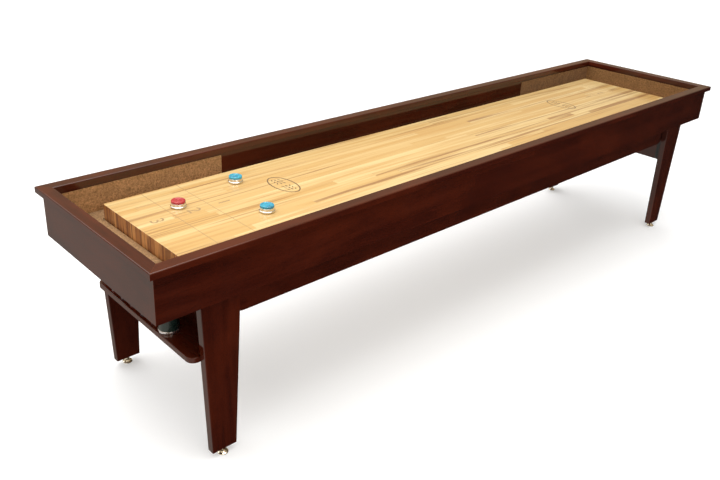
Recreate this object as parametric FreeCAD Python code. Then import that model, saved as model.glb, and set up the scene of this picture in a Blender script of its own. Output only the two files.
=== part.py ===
"""Shuffleboard table: trough cabinet on four tapered legs, maple playfield, puck shelf, eight pucks, wax can.

Units are millimetres.  The origin is on the floor under the table's centre, +X runs along the
table towards the far end (the puck shelf is under the near, -X, end), +Y is the table's left
side seen from the near end, and +Z is up.
"""
import FreeCAD
import Part
import math
import os

V = FreeCAD.Vector

# ---------------------------------------------------------------- driving dimensions
TABLE_LENGTH = 3310.0        # over the cap rails
TABLE_WIDTH = 745.0          # over the cap rails
TABLE_HEIGHT = 762.0         # floor to the top of the cap rails

CAP_WIDTH = 45.0
CAP_THICK = 22.0
CAP_OVERHANG = 17.5          # cap beyond the outside of the cabinet
CAP_ROUND = 4.0

PANEL_THICK = 21.0           # cabinet walls, aprons and cross panels
CABINET_BOTTOM = 585.5
EDGE_ROUND = 1.5             # on the sawn edges of the panels

BOARD_LENGTH = 2955.0        # maple playfield
BOARD_WIDTH = 521.0
BOARD_THICK = 70.0
BOARD_DROP = 70.0            # cap top down to the playing surface

GUTTER_BOARD_THICK = 12.0
GUTTER_GAP = 2.0             # clearance round the playfield
CARPET_THICK = 4.0
WALL_CARPET_THICK = 3.0
WALL_CARPET_REACH = 658.0    # wall carpet along the sides, from each end
WALL_CARPET_TOP_GAP = 9.0    # bare wood between the cap and the wall carpet

LEG_THICK = 28.5
LEG_BOTTOM = 25.6
LEG_SHADOW = 154.0           # cabinet end to the leg's outer edge at the cabinet bottom
LEG_TOP_WIDTH = 142.0
LEG_FOOT_WIDTH = 92.0
LEG_ROUND = 3.0

APRON_BOTTOM = 490.0
APRON_CORNER = 50.0
APRON_END = 277.0            # cabinet end to the apron's end, behind the leg

CROSS_PANEL_BOTTOM = 390.0
CROSS_PANEL_OUT = 239.0      # cabinet end to the cross panel's outer face

SHELF_THICK = 20.0
SHELF_FRONT = 130.0          # cabinet end to the shelf's front edge
SHELF_CORNER = 28.0

MEMBER_WIDTH = 45.0          # cradle cross members
MEMBER_PLACES = (230.0, 690.0, 1150.0)

ADJUSTER_PLACES = {"near": -920.0, "middle": 0.0, "far": 920.0}
ADJUSTER_REACH = 200.0       # centre line to an adjuster bracket's inner face
ADJUSTER_Z = 600.0
BRACKET_PLATE = 4.0
ROD_R = 5.0
RUNNING_GAP = 0.05           # radial clearance of a thread that turns

PUCK_R = 27.0
PUCK_CAP_R = 24.2
PUCK_HEIGHT = 25.0
BOARD_PUCKS = {
    "red_1": (-1292.0, 91.0),
    "blue_1": (-1015.0, 159.0),
    "blue_2": (-1079.0, -115.0),
}
SHELF_PUCK_X = -1458.5
SHELF_PUCKS = {"red_2": -26.0, "blue_3": 40.0, "red_3": 106.0, "blue_4": 172.0, "red_4": 238.0}

CAN_PLACE = (-1470.0, -120.0)    # wax can on the shelf
CAN_R = 33.5
CAN_HEIGHT = 148.0
CAN_WALL = 0.8
CAN_RIM_R = 34.5
CAN_RIM = 9.0
LID_GAP = 0.1
LID_SKIRT = 12.0
LID_TOP = 2.5

# ---------------------------------------------------------------- derived dimensions
HALF_L = TABLE_LENGTH / 2 - CAP_OVERHANG          # outside of the cabinet
HALF_W = TABLE_WIDTH / 2 - CAP_OVERHANG
IN_L = HALF_L - PANEL_THICK                       # inside of the cabinet
IN_W = HALF_W - PANEL_THICK
PANEL_TOP = TABLE_HEIGHT - CAP_THICK
BOARD_TOP = TABLE_HEIGHT - BOARD_DROP
BOARD_UNDER = BOARD_TOP - BOARD_THICK
GUTTER_WOOD = BOARD_UNDER + GUTTER_BOARD_THICK    # top of the gutter boards
GUTTER_FLOOR = GUTTER_WOOD + CARPET_THICK
BAY_L = BOARD_LENGTH / 2 + GUTTER_GAP             # the opening the playfield sits in
BAY_W = BOARD_WIDTH / 2 + GUTTER_GAP
LEG_IN = IN_W - LEG_THICK                         # inner face of a leg
LEG_MID = LEG_SHADOW + LEG_TOP_WIDTH / 2          # cabinet end to the leg's centre line
LEG_SLOPE = (LEG_TOP_WIDTH - LEG_FOOT_WIDTH) / 2 / (CABINET_BOTTOM - LEG_BOTTOM)
APRON_IN = LEG_IN - PANEL_THICK                   # inner face of an apron
CROSS_PANEL_IN = CROSS_PANEL_OUT + PANEL_THICK
SHELF_TOP = CROSS_PANEL_BOTTOM
CORNERS = {"near_left": (-1, 1), "near_right": (-1, -1), "far_left": (1, 1), "far_right": (1, -1)}

# ---------------------------------------------------------------- fastener sizes
SCREW_R = 2.2
SCREW_LENGTH = 32.0
SCREW_HEAD_R = 4.4
SCREW_HEAD = 2.6
BOLT_R = 4.0
BOLT_HEAD_AF = 13.0
BOLT_HEAD = 5.5
BOLT_INTO_PANEL = 14.0
NUT_AF = 17.0
NUT_THICK = 8.0
INSERT_R = 8.0
INSERT_LENGTH = 30.0
INSERT_FLANGE_R = 12.0
INSERT_FLANGE = 2.0
STEM_R = ROD_R - RUNNING_GAP
STEM_TOP = 70.0
STEM_WELL_R = 6.0            # clear hole in the leg above the threaded insert
STEM_WELL_TOP = 85.0
FOOT_R = 18.0
FOOT_TOP = 11.0
SOCKET_FLOOR = 4.0
SOCKET_R = 6.0
STEM_HEX_AF = 14.0
STEM_HEX = (11.5, 17.5)      # heights of the spanner flats


def box(x0, x1, y0, y1, z0, z1):
    """Box between two corners given in any order."""
    low = V(min(x0, x1), min(y0, y1), min(z0, z1))
    return Part.makeBox(abs(x1 - x0), abs(y1 - y0), abs(z1 - z0), low)


def prism(points, direction):
    """Closed outline swept along a straight line."""
    wire = Part.makePolygon(list(points) + [points[0]])
    return Part.Face(wire).extrude(direction)


def hexagon(across_flats, height, base, axis):
    """Hexagonal prism from a base point along a row axis."""
    radius = across_flats / math.sqrt(3)
    points = []
    for i in range(6):
        angle = math.radians(60 * i)
        points.append(V(radius * math.cos(angle), radius * math.sin(angle), 0))
    solid = prism(points, V(0, 0, height))
    solid.Placement = FreeCAD.Placement(base, FreeCAD.Rotation(V(0, 0, 1), axis))
    return solid


def revolve(profile, x, y, z):
    """Turn a closed (radius, height) outline about the vertical line through x, y."""
    wire = Part.makePolygon([V(r, 0, h) for r, h in profile + profile[:1]])
    solid = Part.Face(wire).revolve(V(0, 0, 0), V(0, 0, 1), 360)
    solid.translate(V(x, y, z))
    return solid


def edges_along(shape, axis):
    """Straight edges of a shape that run along a row axis."""
    found = []
    for edge in shape.Edges:
        first, last = edge.Vertexes[0].Point, edge.Vertexes[-1].Point
        run = last - first
        if run.Length > 0 and abs(abs(run.dot(axis)) - run.Length) < 1e-6:
            found.append(edge)
    return found


def save(name, shape):
    """Write one node."""
    shape.exportStep("parts/" + name + ".step")


# ---------------------------------------------------------------- fasteners
def wood_screw(x, y, z, axis, length=SCREW_LENGTH):
    """Countersunk screw: head flush at x, y, z, point driven along axis."""
    base = V(x, y, z)
    head = Part.makeCone(SCREW_HEAD_R, SCREW_R, SCREW_HEAD, base, axis)
    shank = Part.makeCylinder(SCREW_R, length, base, axis)
    return head.fuse(shank).removeSplitter()


def apron_screws(end, side):
    """Two screws from inside the apron's end into the leg."""
    x = end * (HALF_L - APRON_END - 9.0)
    return [wood_screw(x, side * APRON_IN, z, V(0, side, 0), 42.0) for z in (556.0, 600.0)]


def shelf_screws():
    """Screws up through the shelf into the cross panel's lower edge."""
    x = -HALF_L + (CROSS_PANEL_OUT + CROSS_PANEL_IN) / 2
    under = SHELF_TOP - SHELF_THICK
    return [wood_screw(x, y, under, V(0, 0, 1), 45.0) for y in (-240.0, -80.0, 80.0, 240.0)]


def leg_bolt_places():
    """Distances from the cabinet end, and the height, of a leg's two bolts."""
    return (180.0, 262.0), (CABINET_BOTTOM + BOARD_UNDER) / 2


def leg_bolts(end, side):
    """Two hexagon bolts from the leg's inner face into the side panel."""
    places, z = leg_bolt_places()
    bolts = []
    for place in places:
        x = end * (HALF_L - place)
        reach = LEG_THICK + BOLT_INTO_PANEL
        shank = Part.makeCylinder(BOLT_R, reach, V(x, side * LEG_IN, z), V(0, side, 0))
        head = hexagon(BOLT_HEAD_AF, BOLT_HEAD, V(x, side * LEG_IN, z), V(0, -side, 0))
        bolts.append(shank.fuse(head))
    return bolts


# ---------------------------------------------------------------- corner brackets of the leg frames
BRACKET_Z = (398.0, 482.0)
BRACKET_FLANGE = 26.0
BRACKET_THICK = 3.0


def corner_bracket(end, side):
    """Steel angle between the back of a cross panel and the inner face of a leg."""
    x_panel = end * (HALF_L - CROSS_PANEL_IN)
    x_tip = x_panel - end * BRACKET_FLANGE
    y_leg = side * LEG_IN
    y_tip = y_leg - side * BRACKET_FLANGE
    on_panel = box(x_panel, x_panel - end * BRACKET_THICK, y_leg, y_tip, *BRACKET_Z)
    on_leg = box(x_panel, x_tip, y_leg, y_leg - side * BRACKET_THICK, *BRACKET_Z)
    return on_panel.fuse(on_leg).removeSplitter()


def corner_bracket_screws(end, side):
    """Two screws through each flange."""
    x_panel = end * (HALF_L - CROSS_PANEL_IN - BRACKET_THICK)
    y_leg = side * (LEG_IN - BRACKET_THICK)
    middle = 0.6 * BRACKET_FLANGE - BRACKET_THICK
    margin, stagger, length = 12.0, 15.0, 18.0
    screws = []
    for z, way in ((BRACKET_Z[0] + margin, 1), (BRACKET_Z[1] - margin, -1)):
        screws.append(wood_screw(x_panel, y_leg - side * middle, z, V(end, 0, 0), length))
        x = x_panel - end * middle
        screws.append(wood_screw(x, y_leg, z + way * stagger, V(0, side, 0), length))
    return screws


# ---------------------------------------------------------------- climate adjusters under the playfield
BRACKET_LENGTH = 60.0
BRACKET_REACH = 36.0
BRACKET_LOW = 587.0
TURNBUCKLE_HALF = 35.0
TURNBUCKLE_NECK = 8.0
ROD_START = 12.0


def adjuster_bracket(x, side):
    """Angle bracket screwed under the playfield, with a hole for the rod."""
    inner = side * ADJUSTER_REACH
    x0, x1 = x - BRACKET_LENGTH / 2, x + BRACKET_LENGTH / 2
    upright = box(x0, x1, inner, inner + side * BRACKET_PLATE, BRACKET_LOW, BOARD_UNDER)
    flange = box(x0, x1, inner, inner + side * BRACKET_REACH, BOARD_UNDER - BRACKET_PLATE, BOARD_UNDER)
    hole = Part.makeCylinder(ROD_R, 3 * BRACKET_PLATE, V(x, inner - side * BRACKET_PLATE, ADJUSTER_Z),
                             V(0, side, 0))
    return upright.fuse(flange).removeSplitter().cut(hole)


def adjuster_screws(x, side):
    """Two screws up through the bracket's flange."""
    y = side * (ADJUSTER_REACH + 0.6 * BRACKET_REACH)
    z = BOARD_UNDER - BRACKET_PLATE
    return [wood_screw(x + offset, y, z, V(0, 0, 1)) for offset in (-20.0, 20.0)]


def adjuster_rod(x, side):
    """Threaded rod from the bracket to the turnbuckle."""
    length = ADJUSTER_REACH + BRACKET_PLATE + NUT_THICK + 8.0 - ROD_START
    return Part.makeCylinder(ROD_R, length, V(x, side * ROD_START, ADJUSTER_Z), V(0, side, 0))


def adjuster_nuts(x, side):
    """Lock nuts on both faces of the bracket."""
    inner = V(x, side * ADJUSTER_REACH, ADJUSTER_Z)
    outer = V(x, side * (ADJUSTER_REACH + BRACKET_PLATE), ADJUSTER_Z)
    rod = adjuster_rod(x, side)
    nuts = []
    for base, way in ((inner, -side), (outer, side)):
        nuts.append(hexagon(NUT_AF, NUT_THICK, base, V(0, way, 0)).cut(rod))
    return nuts


def turnbuckle(x):
    """Hexagonal sleeve with round necks that draws the two rods together."""
    body_half = TURNBUCKLE_HALF - TURNBUCKLE_NECK
    body = hexagon(NUT_AF, 2 * body_half, V(x, -body_half, ADJUSTER_Z), V(0, 1, 0))
    start = V(x, -TURNBUCKLE_HALF, ADJUSTER_Z)
    neck = Part.makeCylinder(NUT_AF / 2 - 0.7, 2 * TURNBUCKLE_HALF, start, V(0, 1, 0))
    bore = Part.makeCylinder(ROD_R + RUNNING_GAP, 2 * TURNBUCKLE_HALF, start, V(0, 1, 0))
    return body.fuse(neck).cut(bore)


# ---------------------------------------------------------------- levelling feet
def leveler_centre(end, side):
    """Plan position of a levelling foot, under the middle of its leg."""
    return end * (HALF_L - LEG_MID), side * (LEG_IN + LEG_THICK / 2)


def leveler_insert(end, side):
    """Flanged threaded sleeve pressed up into the foot of the leg."""
    x, y = leveler_centre(end, side)
    flange_z = LEG_BOTTOM - INSERT_FLANGE
    profile = [(ROD_R, flange_z), (INSERT_FLANGE_R, flange_z), (INSERT_FLANGE_R, LEG_BOTTOM),
               (INSERT_R, LEG_BOTTOM), (INSERT_R, LEG_BOTTOM + INSERT_LENGTH),
               (ROD_R, LEG_BOTTOM + INSERT_LENGTH)]
    return revolve(profile, x, y, 0)


def leveler_foot(end, side):
    """Domed disc that stands on the floor, with a socket for the stem."""
    x, y = leveler_centre(end, side)
    socket = SOCKET_R + RUNNING_GAP
    profile = [(0, 0), (FOOT_R - 1.5, 0), (FOOT_R, 1.5), (FOOT_R, 3.5), (FOOT_R - 1.2, 5.0),
               (FOOT_R - 4.5, 7.5), (FOOT_R - 8.0, FOOT_TOP), (socket, FOOT_TOP),
               (socket, SOCKET_FLOOR), (0, SOCKET_FLOOR)]
    return revolve(profile, x, y, 0)


def leveler_stem(end, side):
    """Threaded stem with spanner flats, whose lower end turns in the foot's socket."""
    x, y = leveler_centre(end, side)
    journal = Part.makeCylinder(SOCKET_R, STEM_HEX[0] - SOCKET_FLOOR, V(x, y, SOCKET_FLOOR))
    flats = hexagon(STEM_HEX_AF, STEM_HEX[1] - STEM_HEX[0], V(x, y, STEM_HEX[0]), V(0, 0, 1))
    thread = Part.makeCylinder(STEM_R, STEM_TOP - STEM_HEX[1], V(x, y, STEM_HEX[1]))
    return journal.fuse(flats).fuse(thread)


# ---------------------------------------------------------------- cabinet
def mitred(side_name, outer_x, outer_y, width, z0, z1):
    """One side of a rectangular frame, mitred at both ends."""
    in_x, in_y = outer_x - width, outer_y - width
    outline = {
        "left": ((-outer_x, outer_y), (outer_x, outer_y), (in_x, in_y), (-in_x, in_y)),
        "right": ((-outer_x, -outer_y), (outer_x, -outer_y), (in_x, -in_y), (-in_x, -in_y)),
        "near": ((-outer_x, -outer_y), (-outer_x, outer_y), (-in_x, in_y), (-in_x, -in_y)),
        "far": ((outer_x, -outer_y), (outer_x, outer_y), (in_x, in_y), (in_x, -in_y)),
    }[side_name]
    return prism([V(x, y, z0) for x, y in outline], V(0, 0, z1 - z0))


def frame_bar(side_name, half_length, half_width, width, z0, z1, upper_round, lower_round):
    """One mitred side of a rectangular frame, with its long edges rounded."""
    if side_name in ("left", "right"):
        way = 1 if side_name == "left" else -1
        bar = box(-half_length, half_length, way * half_width, way * (half_width - width), z0, z1)
        run = V(1, 0, 0)
    else:
        way = 1 if side_name == "far" else -1
        bar = box(way * half_length, way * (half_length - width), -half_width, half_width, z0, z1)
        run = V(0, 1, 0)
    for height, radius in ((z1, upper_round), (z0, lower_round)):
        edges = [e for e in edges_along(bar, run) if abs(e.CenterOfMass.z - height) < 0.1]
        if radius > 0:
            bar = bar.makeFillet(radius, edges)
    return bar.common(mitred(side_name, half_length, half_width, width, z0, z1))


def cap_rail(side_name):
    """Top rail with rounded edges, mitred at the corners."""
    return frame_bar(side_name, TABLE_LENGTH / 2, TABLE_WIDTH / 2, CAP_WIDTH, PANEL_TOP, TABLE_HEIGHT,
                     CAP_ROUND, CAP_ROUND / 3)


def cabinet_panel(side_name):
    """Cabinet wall, drilled for the bolts that reach it from inside."""
    panel = frame_bar(side_name, HALF_L, HALF_W, PANEL_THICK, CABINET_BOTTOM, PANEL_TOP, 0, EDGE_ROUND)
    if side_name in ("near", "far"):
        return panel
    side = 1 if side_name == "left" else -1
    return panel.cut(Part.makeCompound(leg_bolts(-1, side) + leg_bolts(1, side)))


def gutter_boards_long():
    """Floor boards of the trough beside the playfield."""
    return [box(-BAY_L, BAY_L, side * BAY_W, side * IN_W, BOARD_UNDER, GUTTER_WOOD) for side in (-1, 1)]


def gutter_boards_short():
    """Floor boards of the trough past the playfield's ends."""
    return [box(end * BAY_L, end * IN_L, -IN_W, IN_W, BOARD_UNDER, GUTTER_WOOD) for end in (-1, 1)]


def gutter_carpet():
    """Carpet laid in one piece on the trough floor, round the playfield."""
    outer = box(-IN_L, IN_L, -IN_W, IN_W, GUTTER_WOOD, GUTTER_FLOOR)
    return outer.cut(box(-BAY_L, BAY_L, -BAY_W, BAY_W, GUTTER_WOOD, GUTTER_FLOOR))


def wall_carpet(end):
    """Carpet strip that lines an end wall and the side walls next to it."""
    z = (GUTTER_FLOOR, PANEL_TOP - WALL_CARPET_TOP_GAP)
    reach = IN_L - WALL_CARPET_REACH
    outer = box(end * IN_L, end * reach, -IN_W, IN_W, *z)
    face_x, face_y = IN_L - WALL_CARPET_THICK, IN_W - WALL_CARPET_THICK
    return outer.cut(box(end * face_x, end * (reach - 1), -face_y, face_y, *z))


def cross_members():
    """Cradle members that carry the playfield and the gutter boards."""
    z = (CABINET_BOTTOM, BOARD_UNDER)
    half = MEMBER_WIDTH / 2
    members = []
    for way in (-1, 1):
        for place in MEMBER_PLACES:
            x = way * place
            members.append(box(x - half, x + half, -IN_W, IN_W, *z))
        x = way * (HALF_L - (CROSS_PANEL_OUT + CROSS_PANEL_IN) / 2)
        reach = LEG_IN - BOLT_HEAD - 2.5
        members.append(box(x - half, x + half, -reach, reach, *z))
        members.append(box(way * IN_L, way * (IN_L - MEMBER_WIDTH), -IN_W, IN_W, *z))
    return members


# ---------------------------------------------------------------- playfield
def playfield():
    """Solid maple board with eased edges."""
    half_l, half_w = BOARD_LENGTH / 2, BOARD_WIDTH / 2
    board = box(-half_l, half_l, -half_w, half_w, BOARD_UNDER, BOARD_TOP)
    board = board.makeFillet(2.0, edges_along(board, V(0, 0, 1)))
    top = [e for e in board.Edges if e.BoundBox.ZMin > BOARD_TOP - 0.01]
    board = board.makeFillet(1.2, top)
    screws = []
    for x in ADJUSTER_PLACES.values():
        for side in (-1, 1):
            screws += adjuster_screws(x, side)
    return board.cut(Part.makeCompound(screws))


# ---------------------------------------------------------------- legs and what joins them
def leg(end, side):
    """Tapered plank, drilled for its bolts, bracket screws and levelling foot."""
    outline = []
    for z in (LEG_BOTTOM, BOARD_UNDER):
        half = LEG_FOOT_WIDTH / 2 + LEG_SLOPE * (z - LEG_BOTTOM)
        outline.append((half, z))
    centre = end * (HALF_L - LEG_MID)
    (foot_half, low), (top_half, high) = outline
    points = [V(centre - foot_half, side * LEG_IN, low), V(centre + foot_half, side * LEG_IN, low),
              V(centre + top_half, side * LEG_IN, high), V(centre - top_half, side * LEG_IN, high)]
    plank = prism(points, V(0, side * LEG_THICK, 0))
    long_edges = [e for e in plank.Edges if abs(e.Length) > 0.9 * (high - low)]
    plank = plank.makeFillet(LEG_ROUND, long_edges)
    x, y = leveler_centre(end, side)
    well = Part.makeCylinder(STEM_WELL_R, STEM_WELL_TOP - LEG_BOTTOM, V(x, y, LEG_BOTTOM))
    sleeve = Part.makeCylinder(INSERT_R, INSERT_LENGTH, V(x, y, LEG_BOTTOM))
    tools = leg_bolts(end, side) + corner_bracket_screws(end, side) + apron_screws(end, side) + [well, sleeve]
    for tool in tools:
        plank = plank.cut(tool)
    return plank


def cross_panel(end):
    """Panel that joins a pair of legs under the cabinet."""
    x0, x1 = end * (HALF_L - CROSS_PANEL_OUT), end * (HALF_L - CROSS_PANEL_IN)
    panel = box(x0, x1, -LEG_IN, LEG_IN, CROSS_PANEL_BOTTOM, CABINET_BOTTOM)
    lower = [e for e in edges_along(panel, V(0, 1, 0)) if e.CenterOfMass.z < CROSS_PANEL_BOTTOM + 1]
    panel = panel.makeFillet(EDGE_ROUND, lower)
    screws = corner_bracket_screws(end, -1) + corner_bracket_screws(end, 1)
    if end < 0:
        screws += shelf_screws()
    return panel.cut(Part.makeCompound(screws))


def puck_shelf():
    """Shelf board with rounded front corners, under the near cross panel."""
    front, back = -HALF_L + SHELF_FRONT, -HALF_L + CROSS_PANEL_IN
    under = SHELF_TOP - SHELF_THICK
    board = box(front, back, -LEG_IN, LEG_IN, under, SHELF_TOP)
    corners = [e for e in edges_along(board, V(0, 0, 1)) if e.CenterOfMass.x < front + 1]
    board = board.makeFillet(SHELF_CORNER, corners)
    rim = []
    for edge in board.Edges:
        flat = edge.BoundBox.ZMax - edge.BoundBox.ZMin < 0.01
        if flat and edge.BoundBox.XMax < back - 1:
            rim.append(edge)
    board = board.makeFillet(2.5, rim)
    return board.cut(Part.makeCompound(shelf_screws()))


def apron(side):
    """Long board behind the legs, with rounded lower corners, notched over the cross members."""
    reach = HALF_L - APRON_END
    board = box(-reach, reach, side * LEG_IN, side * APRON_IN, APRON_BOTTOM, BOARD_UNDER)
    corners = [e for e in edges_along(board, V(0, 1, 0)) if e.CenterOfMass.z < APRON_BOTTOM + 1]
    board = board.makeFillet(APRON_CORNER, corners)
    rim = [e for e in board.Edges if e.BoundBox.YLength < 0.01 and e.BoundBox.ZMin < BOARD_UNDER - 1]
    board = board.makeFillet(EDGE_ROUND, rim)
    screws = apron_screws(-1, side) + apron_screws(1, side)
    return board.cut(Part.makeCompound(cross_members())).cut(Part.makeCompound(screws))


# ---------------------------------------------------------------- pucks
SEAT = 17.0                  # height of the cap's seat on the steel body
SPIGOT_R = 15.0
SPIGOT_DEPTH = 6.0


def puck_body(x, y, z):
    """Turned steel weight with a hollow running face and a socket for the cap."""
    profile = [(0, 1.0), (18.5, 1.0), (20.0, 0), (24.5, 0), (26.3, 0.8), (PUCK_R, 2.6),
               (PUCK_R, 8.0), (26.4, 9.8), (25.2, 11.0), (24.9, 12.2), (24.9, 16.4), (24.4, SEAT),
               (SPIGOT_R, SEAT), (SPIGOT_R, SEAT - SPIGOT_DEPTH), (0, SEAT - SPIGOT_DEPTH)]
    return revolve(profile, x, y, z)


def puck_cap(x, y, z):
    """Moulded plastic cap with a rounded rim and a shallow dish on top."""
    profile = [(0, SEAT - SPIGOT_DEPTH), (SPIGOT_R, SEAT - SPIGOT_DEPTH), (SPIGOT_R, SEAT),
               (PUCK_CAP_R - 0.4, SEAT), (PUCK_CAP_R, SEAT + 0.6), (PUCK_CAP_R, 21.8), (23.6, 23.5),
               (22.3, 24.6), (20.3, PUCK_HEIGHT), (18.5, 24.7), (16.0, 23.8), (0, 23.2)]
    return revolve(profile, x, y, z)


# ---------------------------------------------------------------- wax can
def wax_can_body():
    """Open-topped can with a rolled steel rim round its foot."""
    inner = CAN_R - CAN_WALL
    profile = [(0, 2.0), (CAN_RIM_R - 3.0, 2.0), (CAN_RIM_R - 2.5, 0), (CAN_RIM_R - 0.8, 0), (CAN_RIM_R, 0.8),
               (CAN_RIM_R, CAN_RIM), (CAN_R, CAN_RIM + 1.0), (CAN_R, CAN_HEIGHT), (inner, CAN_HEIGHT),
               (inner, 4.0), (0, 4.0)]
    return revolve(profile, *CAN_PLACE, SHELF_TOP)


def wax_can_lid():
    """Push-on plastic lid over the can's mouth."""
    inner, outer = CAN_R + LID_GAP, CAN_RIM_R + 0.6
    low, top = CAN_HEIGHT - LID_SKIRT, CAN_HEIGHT + LID_TOP
    profile = [(0, CAN_HEIGHT), (inner, CAN_HEIGHT), (inner, low), (outer, low), (outer, top - 1.5),
               (outer - 1.5, top), (outer - 4.0, top), (outer - 5.0, top - 1.0), (0, top - 1.0)]
    return revolve(profile, *CAN_PLACE, SHELF_TOP)


# ---------------------------------------------------------------- assembly
def save_cabinet():
    for side_name in ("left", "right", "near", "far"):
        save("cap_rail_" + side_name, cap_rail(side_name))
    save("gutter_boards_long", Part.makeCompound(gutter_boards_long()))
    save("gutter_boards_short", Part.makeCompound(gutter_boards_short()))
    for side_name in ("left", "right"):
        save("side_panel_" + side_name, cabinet_panel(side_name))
    for side_name in ("near", "far"):
        save("end_panel_" + side_name, cabinet_panel(side_name))
    save("gutter_carpet", gutter_carpet())
    save("cross_members", Part.makeCompound(cross_members()))
    save("playfield", playfield())
    save("apron_left", apron(1))
    save("apron_right", apron(-1))
    for end_name, end in (("near", -1), ("far", 1)):
        save("wall_carpet_" + end_name, wall_carpet(end))
        save("cross_panel_" + end_name, cross_panel(end))
    save("puck_shelf", puck_shelf())


def save_legs():
    bolts, inserts, brackets = [], [], []
    for name, (end, side) in CORNERS.items():
        save("leg_" + name, leg(end, side))
        save("leveler_foot_" + name, leveler_foot(end, side))
        save("leveler_stem_" + name, leveler_stem(end, side))
        bolts += leg_bolts(end, side)
        inserts.append(leveler_insert(end, side))
        bracket = corner_bracket(end, side)
        brackets.append(bracket.cut(Part.makeCompound(corner_bracket_screws(end, side))))
    save("leg_bolts", Part.makeCompound(bolts))
    save("leveler_inserts", Part.makeCompound(inserts))
    save("corner_brackets", Part.makeCompound(brackets))


def save_adjusters():
    brackets, rods, nuts = [], [], []
    for name, x in ADJUSTER_PLACES.items():
        save("turnbuckle_" + name, turnbuckle(x))
        for side in (-1, 1):
            screws = Part.makeCompound(adjuster_screws(x, side))
            brackets.append(adjuster_bracket(x, side).cut(screws))
            rods.append(adjuster_rod(x, side))
            nuts += adjuster_nuts(x, side)
    save("adjuster_brackets", Part.makeCompound(brackets))
    save("adjuster_rods", Part.makeCompound(rods))
    save("adjuster_nuts", Part.makeCompound(nuts))


def save_wood_screws():
    screws = shelf_screws()
    for end, side in CORNERS.values():
        screws += corner_bracket_screws(end, side) + apron_screws(end, side)
    for x in ADJUSTER_PLACES.values():
        for side in (-1, 1):
            screws += adjuster_screws(x, side)
    save("wood_screws", Part.makeCompound(screws))


def save_loose_pieces():
    places = {name: (x, y, BOARD_TOP) for name, (x, y) in BOARD_PUCKS.items()}
    for name, y in SHELF_PUCKS.items():
        places[name] = (SHELF_PUCK_X, y, SHELF_TOP)
    for name, (x, y, z) in places.items():
        save("puck_body_" + name, puck_body(x, y, z))
        save("puck_cap_" + name, puck_cap(x, y, z))
    save("wax_can_body", wax_can_body())
    save("wax_can_lid", wax_can_lid())


os.makedirs("parts", exist_ok=True)
save_cabinet()
save_legs()
save_adjusters()
save_wood_screws()
save_loose_pieces()
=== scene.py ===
"""Looks of the shuffleboard table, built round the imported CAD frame.  Lengths are in metres."""
import math

import bmesh
import bpy
import numpy as np
from mathutils import Matrix, Vector


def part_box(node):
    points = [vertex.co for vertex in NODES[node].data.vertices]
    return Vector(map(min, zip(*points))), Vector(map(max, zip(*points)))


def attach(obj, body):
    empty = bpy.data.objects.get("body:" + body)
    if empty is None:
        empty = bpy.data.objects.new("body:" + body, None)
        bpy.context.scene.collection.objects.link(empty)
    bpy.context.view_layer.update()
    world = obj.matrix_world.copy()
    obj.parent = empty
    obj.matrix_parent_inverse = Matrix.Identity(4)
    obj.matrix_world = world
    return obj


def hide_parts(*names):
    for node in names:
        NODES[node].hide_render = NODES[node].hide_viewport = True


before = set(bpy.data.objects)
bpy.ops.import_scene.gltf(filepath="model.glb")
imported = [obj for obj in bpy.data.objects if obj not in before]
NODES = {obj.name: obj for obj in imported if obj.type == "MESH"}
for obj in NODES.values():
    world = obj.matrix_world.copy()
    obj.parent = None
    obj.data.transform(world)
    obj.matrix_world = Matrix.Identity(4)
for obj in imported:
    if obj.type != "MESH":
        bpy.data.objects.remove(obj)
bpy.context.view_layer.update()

CORNERS = ("near_left", "near_right", "far_left", "far_right")
MM = 0.001


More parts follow.
